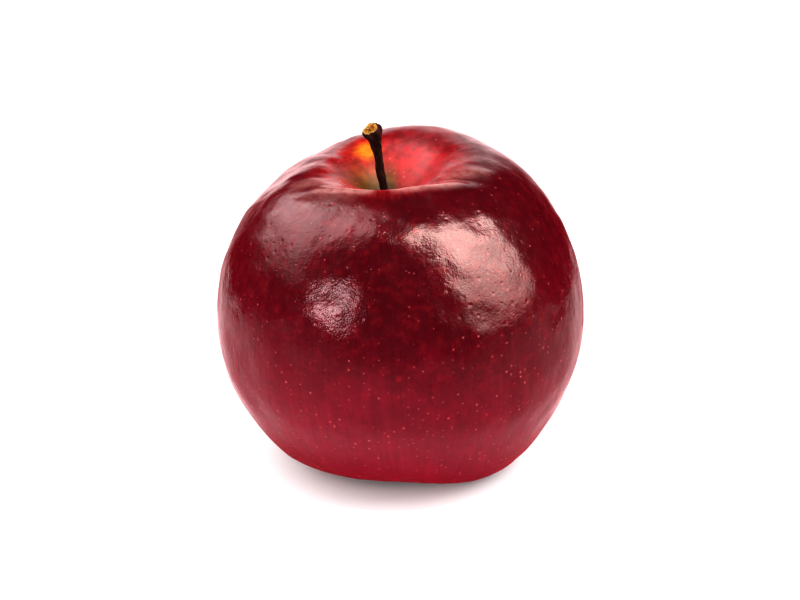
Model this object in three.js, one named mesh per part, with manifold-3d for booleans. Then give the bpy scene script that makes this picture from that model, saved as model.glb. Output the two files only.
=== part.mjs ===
// A whole red apple, standing on the five knobs round its eye, with its woody stem and dried calyx.
//
// Millimetres, +Z up, standing on z = 0, with the stem end up and the fruit leaning a little to -X.
// The fruit is one solid. The stem stands in a hole at the foot of the cavity on top. The calyx,
// which is what dried up of the flower, sits in the eye at the middle of the basin underneath.
import * as THREE from "three";
import { LoftGeometry } from "three/addons/geometries/LoftGeometry.js";
import { mergeVertices } from "three/addons/utils/BufferGeometryUtils.js";
import Module from "manifold-3d";

const wasm = await Module();
wasm.setup();

// ---- Driving dimensions, in millimetres and degrees ----

const FRUIT = {
  girthRadius: 39.7, // half the width, at the middle
  lowBelly: 0.074, // share by which the flanks are fuller below the middle and slimmer above it
  stemEnd: 38.9, // from the middle up to where the top would be without its cavity
  eyeEnd: 35.9, // from the middle down to where the bottom would be without its basin
  stemEndRoundness: 1.98, // the exponent of the outline's upper half: 2 is an ellipse, more is boxier
  eyeEndRoundness: 2.24,
  blend: 1.5, // how sharply the upper half's values give way to the lower half's
  lean: 3,
  middleHeight: 36.5, // so low that the knobs it stands on are pressed flat by 0.3 to 0.4
};

// The hollows' widths and the distances from their poles are chords of a sphere of radius 1.
const CAVITY = { depth: 20, width: 0.357, sharpness: 1.45, drift: 1.3 }; // its foot drifts to -X
const BASIN = { depth: 8, width: 0.28, sharpness: 2.2 };

// Five seed chambers raise five lobes. Each swells by so much at the shoulder round the cavity and at
// the knob round the basin.
const LOBES = [
  { azimuth: 4, shoulder: 0.7, knob: 3.5 },
  { azimuth: 71, shoulder: 2.5, knob: 3.95 },
  { azimuth: 147, shoulder: 0.5, knob: 2.5 },
  { azimuth: 209, shoulder: -0.15, knob: 2.7 },
  { azimuth: 312, shoulder: 0.35, knob: 3.9 },
];
const LOBE_TIGHTNESS = 4; // how fast a lobe dies away sideways
const SHOULDER_BAND = { centre: 36, spread: 24 }; // angles down from the stem end
const KNOB_BAND = { centre: 150, spread: 22 };

const FRUIT_SECTORS = 72;
const FRUIT_RINGS = 48;
const POLE_CROWDING = 0.35; // the rings lie closer by this share in the cavity and in the basin

const STEM_ROUTE = [
  [-2.25, 0.1, 50.8],
  [-2.4, 0.1, 56],
  [-3.1, 0.1, 61],
  [-4, -0.1, 66.2],
  [-4.5, -0.6, 70.1],
  [-4.95, -1, 72.8],
  [-5.3, -1.25, 74.6],
  [-6.1, -1.8, 76.1],
];
const STEM_GIRTH = [
  // share of the stem's length, radius there: a plain root and shaft, then the knob it broke off at
  [0, 0.75],
  [0.04, 0.9],
  [0.4, 0.86],
  [0.74, 0.84],
  [0.84, 1.12],
  [0.9, 1.42],
  [0.945, 1.95],
  [0.975, 2.05],
  [1, 1.65],
];
const STEM_SIDES = 20;
const STEM_STEPS = 36;
const BARK_RIDGES = [
  // furrows in the bark: how many round the stem, their share of its radius, turns along its length
  { count: 3, share: 0.05, turns: 0.4 },
  { count: 5, share: 0.035, turns: -0.3 },
];
const SOCKET = { radius: 1.3, foot: 50.5, top: 59 }; // the plain hole that the stem's root stands in

const CALYX_CUP = [
  // radius and height above the eye of the plug that the calyx grows from, hollow underneath
  [0, 2.4],
  [2.2, 2.4],
  [2.8, 1.8],
  [2.9, 0.3],
  [2.5, -0.5],
  [1.9, -0.1],
  [1.3, 0.7],
  [0, 0.9],
];
const CALYX_SIDES = 24;
const EYE_SEAT = { radius: 3.2, top: 2.7, mouth: -3 }; // the hole for the plug, 0.3 clear all round
const SEPALS = [
  // dried leaflets round the eye: length, how far the tip curls out, how far it sweeps sideways
  { azimuth: 20, length: 6.4, curl: 1, sweep: 0.8 },
  { azimuth: 95, length: 5.6, curl: 0.4, sweep: -0.6 },
  { azimuth: 165, length: 6.8, curl: 1.2, sweep: 0.4 },
  { azimuth: 235, length: 5.2, curl: 0.1, sweep: -0.9 },
  { azimuth: 308, length: 6, curl: 0.8, sweep: 0.5 },
];
const SEPAL = { width: 3.2, thickness: 0.7, root: 1.85, fold: 0.5, steps: 8, points: 8 };
const STAMENS = { count: 11, ring: 0.95, radius: 0.3, length: 2.8, splay: 0.35, sides: 5 };

const SKIN = new THREE.MeshStandardMaterial({ color: 0x7d1420, roughness: 0.25, metalness: 0 });
const BARK = new THREE.MeshStandardMaterial({ color: 0x2c1a12, roughness: 0.85, metalness: 0 });
const DRIED_LEAF = new THREE.MeshStandardMaterial({ color: 0x5a4630, roughness: 0.95, metalness: 0 });

const radians = THREE.MathUtils.degToRad;
const mix = THREE.MathUtils.lerp;

// ---- Solids ----

// Welds a closed geometry's vertices and hands it to the solid modeller.
function solid(geometry) {
  const bare = new THREE.BufferGeometry().copy(geometry);
  bare.deleteAttribute("normal");
  bare.deleteAttribute("uv");
  const welded = mergeVertices(bare);
  const vertProperties = welded.attributes.position.array;
  const triVerts = new Uint32Array(welded.index.array);
  return new wasm.Manifold(new wasm.Mesh({ numProp: 3, vertProperties, triVerts }));
}

function geometryOf(manifold) {
  const { vertProperties, triVerts } = manifold.getMesh();
  const geometry = new THREE.BufferGeometry();
  geometry.setAttribute("position", new THREE.BufferAttribute(vertProperties, 3));
  geometry.setIndex(new THREE.BufferAttribute(triVerts, 1));
  geometry.computeVertexNormals();
  return geometry;
}

function sub(name, manifold, material) {
  const mesh = new THREE.Mesh(geometryOf(manifold), material);
  mesh.name = name;
  return mesh;
}

// ---- The fruit ----

// A bell curve over the angle down from the stem end: 1 at the band's centre.
function bell(polar, band) {
  return Math.exp(-(((polar - radians(band.centre)) / radians(band.spread)) ** 2));
}

// How deep a hollow is at a distance from its pole, as a share of its full depth.
function dip(chord, hollow) {
  return Math.exp(-((chord / hollow.width) ** hollow.sharpness));
}

// Turns a point of the upright fruit, measured from its middle, to where it lies as the fruit stands.
function stand(point) {
  point.applyAxisAngle(new THREE.Vector3(0, 1, 0), -radians(FRUIT.lean));
  point.z += FRUIT.middleHeight;
  return point;
}

// The skin in one direction from the middle: a rounded body whose upper and lower halves have their
// own height and fullness, raised by the five lobes and sunk by the cavity and the basin.
function skinPoint(azimuth, polar) {
  const across = Math.sin(polar);
  const up = Math.cos(polar);
  const upper = 0.5 * (1 + Math.tanh(FRUIT.blend * up));
  const end = mix(FRUIT.eyeEnd, FRUIT.stemEnd, upper);
  const roundness = mix(FRUIT.eyeEndRoundness, FRUIT.stemEndRoundness, upper);
  const girth = FRUIT.girthRadius * (1 - FRUIT.lowBelly * up * across ** 2);
  let reach = (Math.abs(across / girth) ** roundness + Math.abs(up / end) ** roundness) ** (-1 / roundness);
  for (const lobe of LOBES) {
    const nearness = Math.exp(LOBE_TIGHTNESS * (Math.cos(azimuth - radians(lobe.azimuth)) - 1));
    reach += nearness * (lobe.shoulder * bell(polar, SHOULDER_BAND) + lobe.knob * bell(polar, KNOB_BAND));
  }
  const cavity = dip(2 * Math.sin(polar / 2), CAVITY);
  const basin = dip(2 * Math.cos(polar / 2), BASIN);
  reach -= CAVITY.depth * cavity + BASIN.depth * basin;
  const point = new THREE.Vector3(
    reach * across * Math.cos(azimuth) - CAVITY.drift * cavity,
    reach * across * Math.sin(azimuth),
    reach * up,
  );
  return stand(point);
}

// The whole skin: a sphere whose vertices are moved out to the skin, with rings crowded to its poles
// and whatever would reach below the ground pressed flat on it.
function fruitBody() {
  const geometry = new THREE.SphereGeometry(1, FRUIT_SECTORS, FRUIT_RINGS);
  geometry.rotateX(Math.PI / 2);
  const positions = geometry.attributes.position;
  const direction = new THREE.Vector3();
  for (let index = 0; index < positions.count; index++) {
    direction.fromBufferAttribute(positions, index);
    const azimuth = Math.atan2(direction.y, direction.x);
    const ring = Math.acos(THREE.MathUtils.clamp(direction.z, -1, 1));
    const polar = ring - (POLE_CROWDING / 2) * Math.sin(2 * ring);
    const point = skinPoint(azimuth, polar);
    positions.setXYZ(index, point.x, point.y, Math.max(point.z, 0));
  }
  return solid(geometry);
}

// A round hole along the Z axis, from one height to another.
function bore(radius, from, to) {
  const geometry = new THREE.CylinderGeometry(radius, radius, to - from, CALYX_SIDES);
  geometry.rotateX(Math.PI / 2);
  geometry.translate(0, 0, (from + to) / 2);
  return geometry;
}

function fruit() {
  const socket = bore(SOCKET.radius, SOCKET.foot, SOCKET.top);
  socket.translate(STEM_ROUTE[0][0], STEM_ROUTE[0][1], 0);
  const seat = standAtEye(bore(EYE_SEAT.radius, EYE_SEAT.mouth, EYE_SEAT.top));
  return fruitBody().subtract(solid(socket)).subtract(solid(seat));
}

// ---- The stem ----

// One ring of a loft: a closed outline round a centre, in the plane of two directions.
function outline(centre, right, ahead, points, radiusAt) {
  const ring = [];
  for (let index = 0; index < points; index++) {
    const angle = (index / points) * 2 * Math.PI;
    const point = centre.clone();
    point.addScaledVector(right, radiusAt(angle) * Math.cos(angle));
    point.addScaledVector(ahead, radiusAt(angle) * Math.sin(angle));
    ring.push(point);
  }
  return ring;
}

// How far the bark stands out at an angle round the stem, as a share of its radius.
function bark(angle, along) {
  let share = 1;
  for (const ridge of BARK_RIDGES) {
    share += ridge.share * Math.cos(ridge.count * angle + 2 * Math.PI * ridge.turns * along);
  }
  return share;
}

// A furrowed shaft along its route, which turns to the side at the knob so that the broken-off end
// faces out and up.
function stem() {
  const route = new THREE.CatmullRomCurve3(STEM_ROUTE.map((place) => new THREE.Vector3(...place)));
  const shares = STEM_GIRTH.map(([share]) => share);
  const radii = STEM_GIRTH.map(([, radius]) => radius);
  const girth = new THREE.LinearInterpolant(shares, radii, 1);
  const frames = route.computeFrenetFrames(STEM_STEPS);
  const rings = [];
  for (let step = 0; step <= STEM_STEPS; step++) {
    const along = step / STEM_STEPS;
    const radius = girth.evaluate(along)[0];
    const radiusAt = (angle) => radius * bark(angle, along);
    const centre = route.getPointAt(along);
    rings.push(outline(centre, frames.normals[step], frames.binormals[step], STEM_SIDES, radiusAt));
  }
  return solid(new LoftGeometry(rings, { capStart: true, capEnd: true }));
}

// ---- The calyx ----

// Moves a geometry made with its origin at the eye, and the fruit's inside above it, to its place.
function standAtEye(geometry) {
  geometry.rotateY(-radians(FRUIT.lean));
  const eye = skinPoint(0, Math.PI);
  geometry.translate(eye.x, eye.y, eye.z);
  return geometry;
}

function cup() {
  const profile = CALYX_CUP.map(([radius, height]) => new THREE.Vector2(radius, -height));
  const geometry = new THREE.LatheGeometry(profile, CALYX_SIDES);
  geometry.rotateX(-Math.PI / 2);
  return solid(geometry);
}

// A leaflet that grows down out of the cup, bends outwards and tapers to a tip, folded along its rib.
function sepal({ azimuth, length, curl, sweep }) {
  const out = new THREE.Vector3(Math.cos(radians(azimuth)), Math.sin(radians(azimuth)), 0);
  const side = new THREE.Vector3(-out.y, out.x, 0);
  const rings = [];
  for (let step = 0; step <= SEPAL.steps; step++) {
    const along = step / SEPAL.steps;
    const centre = new THREE.Vector3(0, 0, 0.6 - length * 0.75 * (along - 0.3 * along ** 3));
    centre.addScaledVector(out, SEPAL.root + length * (0.12 * along + 0.22 * curl * along ** 2));
    centre.addScaledVector(side, sweep * along ** 2);
    const halfWidth = (SEPAL.width / 2) * Math.sqrt(1 - 0.93 * along);
    const ring = [];
    for (let index = 0; index < SEPAL.points; index++) {
      const angle = (index / SEPAL.points) * 2 * Math.PI;
      const across = halfWidth * Math.cos(angle);
      const fold = SEPAL.fold * (across / SEPAL.width) ** 2 * 4;
      const point = centre.clone().addScaledVector(side, across);
      point.addScaledVector(out, (SEPAL.thickness / 2) * Math.sin(angle) - fold);
      ring.push(point);
    }
    rings.push(ring);
  }
  return solid(new LoftGeometry(rings, { capStart: true, capEnd: true }));
}

// One dried filament out of the cup's hollow, splayed out a little more than its neighbour.
function stamen(index) {
  const azimuth = (index / STAMENS.count) * 2 * Math.PI;
  const splay = STAMENS.splay * (0.4 + 0.6 * ((index * 3) % 5) / 4);
  const length = STAMENS.length * (0.75 + 0.25 * ((index * 2) % 3) / 2);
  const geometry = new THREE.CylinderGeometry(STAMENS.radius, STAMENS.radius, length, STAMENS.sides);
  geometry.rotateX(Math.PI / 2);
  geometry.translate(0, 0, 1 - length / 2);
  geometry.rotateY(-splay);
  geometry.translate(STAMENS.ring, 0, 0);
  geometry.rotateZ(azimuth);
  return solid(geometry);
}

function calyx() {
  let grown = cup();
  for (const leaflet of SEPALS) {
    grown = grown.add(sepal(leaflet));
  }
  for (let index = 0; index < STAMENS.count; index++) {
    grown = grown.add(stamen(index));
  }
  return solid(standAtEye(geometryOf(grown)));
}

// ---- The assembly ----

const apple = new THREE.Group();
apple.add(sub("fruit", fruit(), SKIN));
apple.add(sub("stem", stem(), BARK));
apple.add(sub("calyx", calyx(), DRIED_LEAF));

export default apple;
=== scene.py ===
import math

import bpy
import numpy as np
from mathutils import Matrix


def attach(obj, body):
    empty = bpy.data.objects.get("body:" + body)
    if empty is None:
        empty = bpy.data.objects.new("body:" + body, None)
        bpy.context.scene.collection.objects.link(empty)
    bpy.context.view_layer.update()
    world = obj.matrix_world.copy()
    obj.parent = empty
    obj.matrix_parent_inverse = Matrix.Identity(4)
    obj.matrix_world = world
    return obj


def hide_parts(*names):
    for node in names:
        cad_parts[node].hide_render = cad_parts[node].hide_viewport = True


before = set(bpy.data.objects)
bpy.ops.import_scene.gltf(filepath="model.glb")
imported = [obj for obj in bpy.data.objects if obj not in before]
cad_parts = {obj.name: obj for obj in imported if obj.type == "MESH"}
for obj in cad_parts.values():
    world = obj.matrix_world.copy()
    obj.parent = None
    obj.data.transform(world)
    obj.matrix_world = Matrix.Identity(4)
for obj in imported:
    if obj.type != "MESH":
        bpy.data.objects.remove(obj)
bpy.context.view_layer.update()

# The looks of a dark red apple: its waxy skin, its stalk with a broken-off end, and the dried
# calyx in the basin underneath, on the white floor of a small studio.
#
# Sizes are in millimetres and angles in degrees, and every mesh is made in metres. An azimuth
# round the fruit runs from +X towards +Y.

MM = 0.001

# ---- The fruit's form: the same driving sizes as the solid's ----

GIRTH_RADIUS = 39.7
LOW_BELLY = 0.074  # share by which the flanks are fuller below the middle and slimmer above it
STEM_END = 38.9  # heights of the two halves, from the middle to each end
EYE_END = 35.9
STEM_END_ROUNDNESS = 1.98  # exponents of the two halves: 2 is an ellipse, and more is fuller
EYE_END_ROUNDNESS = 2.24
HALVES_BLEND = 1.5  # how suddenly one half's form turns into the other's
LEAN = 3
MIDDLE_HEIGHT = 36.5
CAVITY = {"depth": 20, "width": 0.357, "sharpness": 1.45}
CAVITY_DRIFT = 1.3  # how far its foot lies towards -X
BASIN = {"depth": 8, "width": 0.28, "sharpness": 2.2}
EYE_PIT = {"depth": 2.3, "width": 0.085, "sharpness": 4}  # where the calyx sits, inside the basin
# Each lobe's azimuth, and how far it stands out at the shoulder and as a knob at the foot.
LOBES = ((4, 0.7, 3.5), (71, 2.5, 3.95), (147, 0.5, 2.5), (209, -0.15, 2.7), (312, 0.35, 3.9))
LOBE_TIGHTNESS = 4
SHOULDER_BAND = (36, 24)  # angle down from the stem end, and spread
KNOB_BAND = (150, 22)
SKIN_SECTORS = 400
SKIN_RINGS = 236
POLE_CROWDING = 0.3  # how much closer the rings are in the cavity and the basin

# Low relief of the skin: wavelength, height and seed of each order of swelling.
SWELLINGS = ((14, 0.08, 11), (6, 0.04, 12), (2.8, 0.012, 13))
# Folds that the skin is drawn into round the cavity. Each is a ridge, or a furrow where its height
# is negative: height, spread, and the places it runs through as azimuth and distance from the stem
# end. Distances and spreads are chords of a ball of radius 1.
FOLDS = (
    (0.45, 0.04, ((-157, 0.66), (-147, 0.54), (-134, 0.48), (-118, 0.435), (-100, 0.41), (-85, 0.405),
                  (-70, 0.425), (-58, 0.46), (-46, 0.49), (-34, 0.53))),
    (-0.7, 0.14, ((-135, 0.62), (-112, 0.6), (-88, 0.6), (-64, 0.6))),
    (-1.0, 0.07, ((-66, 0.34), (-55, 0.37), (-45, 0.41), (-37, 0.46), (-31, 0.52), (-27, 0.6))),
    (0.17, 0.06, ((-36, 0.38), (-28, 0.45), (-22, 0.51), (-17, 0.62))),
    (-0.15, 0.06, ((-24, 0.36), (-17, 0.44), (-9, 0.54), (-5, 0.64))),
    (0.18, 0.08, ((-20, 0.34), (-12, 0.41), (-3, 0.5), (6, 0.62))),
    (0.22, 0.06, ((-138, 0.38), (-148, 0.43), (-157, 0.52), (-163, 0.66))),
    (-0.2, 0.07, ((175, 0.28), (-179, 0.36), (-173, 0.44), (-168, 0.54), (-170, 0.66))),
    (0.16, 0.07, ((176, 0.36), (177, 0.45), (-179, 0.53), (-179, 0.66))),
    (0.2, 0.07, ((150, 0.38), (147, 0.5), (149, 0.66))),
    (0.2, 0.06, ((118, 0.42), (112, 0.52), (113, 0.64))),
    (0.15, 0.09, ((62, 0.4), (58, 0.5), (60, 0.66))),
    (-1.3, 0.22, ((118, 0.5), (142, 0.6), (165, 0.78), (178, 0.95))),
)
# Crests painted with a pale sheen that stands in for their reflection: its share, its spread, and its
# route as above.
SHEEN_CRESTS = (
    (1, 0.036, ((-101, 0.42), (-112, 0.44), (-124, 0.466), (-136, 0.51), (-148, 0.6))),
    (1, 0.036, ((-91, 0.415), (-80, 0.42), (-70, 0.44), (-58, 0.475), (-46, 0.51), (-36, 0.55))),
    (0.3, 0.08, ((-112, 0.48), (-126, 0.52), (-138, 0.58), (-148, 0.66))),
    (0.5, 0.06, ((-138, 0.38), (-148, 0.43), (-157, 0.52), (-163, 0.66))),
    (0.5, 0.06, ((-36, 0.38), (-28, 0.45), (-22, 0.51), (-17, 0.62))),
)
# Puckers round the eye. Their rows wander by a swelling of this height and wavelength.
PLEATS = {"count": 11, "height": 0.3, "centre": 0.17, "spread": 0.07}
PLEATS_WANDER = {"height": 1.5, "wavelength": 20, "seed": 5}

# ---- The stem ----

# The stem's middle line, from its root to its broken-off end.
STEM_ROUTE = (
    (-2.25, 0.1, 50.8),
    (-2.4, 0.1, 56),
    (-3.1, 0.1, 61),
    (-4, -0.1, 66.2),
    (-4.5, -0.6, 70.1),
    (-4.95, -1, 72.8),
    (-5.3, -1.25, 74.6),
    (-6.1, -1.8, 76.1),
)
# Shares of its length, and its radius there.
STEM_GIRTH = (
    (0, 0.75),
    (0.04, 0.9),
    (0.4, 0.86),
    (0.74, 0.84),
    (0.84, 1.12),
    (0.9, 1.42),
    (0.945, 1.95),
    (0.975, 2.05),
    (1, 1.65),
)
STEM_STEPS = 260
STEM_SIDES = 96
# Ridges of the bark: how many go round, their height as a share of the radius, and their turns.
BARK_RIDGES = ((3, 0.05, 0.4), (5, 0.035, -0.3), (9, 0.03, 0.5), (14, 0.02, -0.2))
# Roughness of the bark: height as a share of the radius, wavelength, how far it is drawn out along
# the stem, and seed.
BARK_SWELLINGS = ((0.045, 0.9, 0.22, 31), (0.03, 0.45, 0.22, 32), (0.03, 2.2, 1, 33))
BREAK_RINGS = 26  # rings of the broken-off end, from its rim to its middle
BREAK_RIM = {"height": 0.16, "centre": 0.92, "spread": 0.07}  # placed by the share of the radius
BREAK_DISH_DEPTH = 0.22
BREAK_SWELLINGS = ((0.07, 0.8, 34), (0.04, 0.35, 35))  # height, wavelength and seed

# ---- The calyx ----

# Radius of the cup and height over the eye, from the middle of its top to that of its hollow.
CUP_PROFILE = (
    (0, 2.3),
    (2.1, 2.3),
    (2.7, 1.7),
    (2.85, 0.3),
    (2.5, -0.45),
    (1.9, -0.1),
    (1.3, 0.7),
    (0, 0.9),
)
CUP_WALL = {"roughness": 0.02, "wavelength": 1.1, "seed": 41}  # roughness: a share of the radius
CUP_STEPS = 40
CUP_SIDES = 72
# Each sepal's azimuth, length, outward curl and sideways sweep.
SEPALS = (
    (20, 6.4, 1, 0.8),
    (95, 5.6, 0.8, -0.6),
    (165, 6.8, 1.2, 0.4),
    (235, 5.6, 0.6, -0.9),
    (308, 6, 0.8, 0.5),
)
# The root is a sepal's distance from the eye's axis there, and the start its height over the eye.
SEPAL = {"width": 3, "thickness": 0.42, "root": 1.85, "fold": 0.5, "start": 0.6}
# The shares of the width and the thickness lost on the way to the tip, and how late the width goes.
SEPAL_TIP = {"narrowing": 0.97, "power": 1.4, "thinning": 0.5}
# How a sepal's length is spent: downwards, with a share of that levelling off, and outwards.
SEPAL_COURSE = {"drop": 0.75, "levelling": 0.3, "lean": 0.12, "bend": 0.22}
SEPAL_CRUMPLES = {"outwards": (0.16, 2.1), "downwards": (0.1, 1.3)}  # height and wavelength
SEPAL_SEED = 50  # of the first sepal, and each takes two
SEPAL_STEPS = 44
SEPAL_SIDES = 36
STAMENS = {"count": 11, "ring": 0.95, "radius": 0.19, "length": 2.8, "splay": 0.35}
STAMEN_LEAST = {"splay": 0.4, "length": 0.75}  # as shares of the most
STAMEN_BENDS = {"outwards": 0.12, "sideways": 0.3}
STAMEN_ROOT_HEIGHT = 1
STAMEN_STEPS = 30
STAMEN_SIDES = 14
# The head's place as a share of the length, how much thicker than the rod it is, and its spread.
STAMEN_HEAD = {"place": 0.9, "swell": 1.1, "spread": 0.08}
STAMEN_THINNING = 0.3  # share of the radius lost on the way to the tip
STAMEN_WRINKLES = {"height": 0.18, "wavelength": 1.3, "seed": 70}  # height: a share of the radius

# ---- Colours ----

BURGUNDY = (0.064, 0.0003, 0.004, 1)
WINE = (0.096, 0.0006, 0.006, 1)
DEEP_RED = (0.225, 0.0045, 0.022, 1)
BASE_RED = (0.29, 0.002, 0.017, 1)
CAVITY_RED = (0.28, 0.006, 0.01, 1)
# A painted reflection: the grey-pink haze of the backdrop on the cavity's far rim.
PAINTED_HAZE = (0.2, 0.02, 0.025, 1)
CORAL = (0.34, 0.008, 0.012, 1)
ORANGE = (0.4, 0.02, 0.012, 1)
YELLOW = (0.62, 0.2, 0.01, 1)
OLIVE = (0.15, 0.066, 0.006, 1)
# A painted shadow: the dark that the stem's foot casts on the cavity's wall behind it.
STEM_SHADOW = (0.04, 0.02, 0.004, 1)
EYE_GOLD = (0.3, 0.11, 0.02, 1)
BLUSH = (0.26, 0.006, 0.012, 1)
# A painted sheen: pale pink-grey that stands in for the reflection along the cavity's crests.
PAINTED_SHEEN = (0.38, 0.18, 0.165, 1)
DOT = (0.55, 0.11, 0.12, 1)
# Patches on the far wall of the cavity, the later ones over the earlier: colour, middle, radius
# within which it is full and beyond which it has gone, and how far the clouds warp its edge.
CAVITY_PATCHES = (
    # The first patch is a painted reflection, the backdrop's haze on the far rim.
    (PAINTED_HAZE, (7, 13, 68.5), 3, 8.5, 12),
    (CORAL, (2.5, 4.6, 64.2), 4.5, 9.5, 9),
    (ORANGE, (-7.8, 11.5, 66.6), 1.5, 6.5, 6),
    (YELLOW, (-6.6, 11, 66.6), 0.5, 3.6, 4),
)
STEM_SHADOW_PLACE = (-4.6, 5, 58)  # where the stem's painted shadow falls: on the cavity's wall, right behind the stem's foot
FLUSH_PLACE = (-9, -21, 62.5)  # in front of the cavity's near lip
REDDER_AND_LIT_SIDE = (-0.8, -0.3, 0)  # the flank that is redder and lighter all the way up: partly the skin's own redder side, partly painted light on the side the fill lamp faces
DARK_AND_SHADED_FRONT = (-0.05, -1, 0)  # the flank towards the camera, nearly black: partly the skin's own burgundy, partly painted shade of the unlit front

BARK_BLACK = (0.011, 0.002, 0.002, 1)
BARK_BROWN = (0.055, 0.015, 0.008, 1)
BARK_RED = (0.03, 0.006, 0.006, 1)
WOOD_SPECKS = (0.08, 0.028, 0.006, 1)
WOOD_TAN = (0.52, 0.23, 0.03, 1)
WOOD_RIM = (0.42, 0.26, 0.1, 1)

LEAF_VEINS = (0.25, 0.15, 0.075, 1)
# The dark and the light brown of each dried material.
CUP_BROWNS = ((0.05, 0.028, 0.014, 1), (0.14, 0.085, 0.042, 1))
SEPAL_BROWNS = ((0.06, 0.032, 0.015, 1), (0.21, 0.125, 0.058, 1))
STAMEN_BROWNS = ((0.03, 0.017, 0.01, 1), (0.12, 0.07, 0.03, 1))

# ---- The studio ----

CAMERA = {"aim": (0.153, 0, 36.11), "distance": 483.4, "elevation": 23.87, "lens": 100, "film": 36}
CAMERA_NEAREST = 10
CONTRAST = 0.74  # gamma of the finished picture: below 1 deepens the shadows and the colours
FLOOR_RINGS = (20, 60, 150, 400, 800, 1000)
FLOOR_SIDES = 96
FLOOR_EDGE = 4
# The grey is a painted fall-off of the light round the fruit, and the last colour a painted contact
# shadow under it.
FLOOR_WHITE = (0.93, 1, 1, 1)
FLOOR_GREY = (0.6, 0.6, 0.6, 1)
FLOOR_SHADE = (0.1, 0.08, 0.08, 1)
DOME_GLOW = 1.95

# Cards that only reflections see. The corners are directions from the fruit, as azimuth from the
# camera's side towards +X and elevation: two along the foot, then back along the top. The glow at
# the foot is a share of the brightness, and the softness is the share over which an edge fades.
CARDS = {
    "right_softbox": {
        "corners": ((43, 3), (92, -1), (99, 87), (-24, 78)),
        "brightness": 42,
        "foot": 0.12,
        "softness": 0.14,
        "tint": (1, 0.95, 0.88, 1),
        "shielded": True,
    },
    "right_spill": {
        "corners": ((82, 20), (106, 20), (112, 84), (82, 84)),
        "brightness": 6,
        "foot": 0.6,
        "softness": 0.3,
    },
    "left_card": {
        "corners": ((-68, 12), (-142, 5), (-168, 60), (-50, 79)),
        "brightness": 12,
        "foot": 0.58,
        "softness": 0.3,
        "tint": (1, 0.95, 0.96, 1),
    },
    "front_lamp": {
        "corners": ((-30, 8), (-56, 8), (-56, 29), (-30, 29)),
        "brightness": 62,
        "foot": 0.9,
        "softness": 0.5,
        "tint": (1, 0.9, 0.95, 1),
    },
    "backdrop": {
        "corners": ((133, -46), (227, -46), (215, 16), (145, 50)),
        "brightness": 1.7,
        "foot": 0.85,
        "softness": 0.2,
        "distance": 130,
    },
    "right_flag": {
        "corners": ((95, -14), (150, -14), (150, 8), (95, 8)),
        "brightness": 0,
        "distance": 190,
    },
    "left_flag": {
        "corners": ((-95, -14), (-145, -14), (-145, 4), (-95, 4)),
        "brightness": 0,
        "distance": 190,
    },
}
CARD_STEPS = 8
CARD_DISTANCE = 900  # where a card doesn't say its own
CARD_CENTRE = (0, 0, MIDDLE_HEIGHT + 15)  # where the cards' directions start
SHIELD_BAND = (-12, 2)  # a shielded card fades for rays from this far behind the centre
WELL_IN_FRONT = -1000.0  # where a card that isn't shielded takes every ray to start
# Each lamp's azimuth and elevation as above, its diameter and its power in watts.
LAMPS = {
    "key": (75, 45, 600, 3.5),
    "fill": (-105, 40, 600, 1),
    "front_fill": (-5, 12, 400, 2.8),
}
LAMP_DISTANCE = 900


# ---- Arrays and meshes ----

def turn(steps):
    """The angles of one full turn in equal steps, in radians."""
    return np.arange(steps) / steps * 2 * np.pi


def vectors(*components):
    """Vectors from arrays of their components, which are first stretched to one shape."""
    return np.stack(np.broadcast_arrays(*components), axis=-1)


def swelling(points, wavelength, seed, waves=28):
    """A smooth random field of about unit height: the mean of plane waves of one length whose
    directions and phases are drawn at random, times the root of twice their number."""
    draw = np.random.default_rng(seed)
    directions = draw.normal(size=(waves, 3))
    directions /= np.linalg.norm(directions, axis=1, keepdims=True)
    phases = draw.uniform(0, 2 * np.pi, waves)
    turns = points @ directions.T * (2 * np.pi / wavelength) + phases
    return np.cos(turns).mean(axis=-1) * math.sqrt(2 * waves)


def bell(value, centre, spread):
    """A bell curve: 1 at the centre, falling to 1/e at one spread from it."""
    return np.exp(-(((value - centre) / spread) ** 2))


def smooth_route(places, shares):
    """Points along a smooth curve through the places, at shares of its length: a cubic through
    each pair, whose slope at each place is that of the line between its two neighbours."""
    places = np.asarray(places, float)
    steps = np.linalg.norm(np.diff(places, axis=0), axis=1)
    knots = np.concatenate(([0], np.cumsum(steps))) / steps.sum()
    slopes = np.gradient(places, knots, axis=0)
    left = np.clip(np.searchsorted(knots, shares, side="right") - 1, 0, len(knots) - 2)
    span = (knots[left + 1] - knots[left])[:, None]
    t = (np.asarray(shares)[:, None] - knots[left][:, None]) / span
    start = (2 * t**3 - 3 * t**2 + 1) * places[left] + (t**3 - 2 * t**2 + t) * span * slopes[left]
    end = (3 * t**2 - 2 * t**3) * places[left + 1] + (t**3 - t**2) * span * slopes[left + 1]
    return start + end


def frames_along(route):
    """Three directions at each point of a route: the part of +X that is square to the route, the
    one square to both, and the route's own."""
    ahead = np.gradient(route, axis=0)
    ahead /= np.linalg.norm(ahead, axis=1, keepdims=True)
    right = np.array([1.0, 0, 0]) - ahead * ahead[:, :1]
    right /= np.linalg.norm(right, axis=1, keepdims=True)
    return right, np.cross(ahead, right), ahead


def closed_rings(rings):
    """Vertices and faces of a surface through closed rings of points, an array of ring, point and
    axis. A vertex in the middle of the first ring and one in the last close its two ends."""
    count, sides, _ = rings.shape
    vertices = np.concatenate((rings.reshape(-1, 3), rings[:1].mean(axis=1), rings[-1:].mean(axis=1)))
    ring, side = np.meshgrid(np.arange(count - 1), np.arange(sides), indexing="ij")
    here = ring * sides + side
    beside = ring * sides + (side + 1) % sides
    quads = np.stack((here, beside, beside + sides, here + sides), axis=-1).reshape(-1, 4)
    side = np.arange(sides)
    beside = (side + 1) % sides
    last = (count - 1) * sides
    first_fan = np.stack((beside, side, np.full(sides, count * sides)), axis=-1)
    last_fan = np.stack((last + side, last + beside, np.full(sides, count * sides + 1)), axis=-1)
    return vertices, quads, np.concatenate((first_fan, last_fan))


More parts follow.
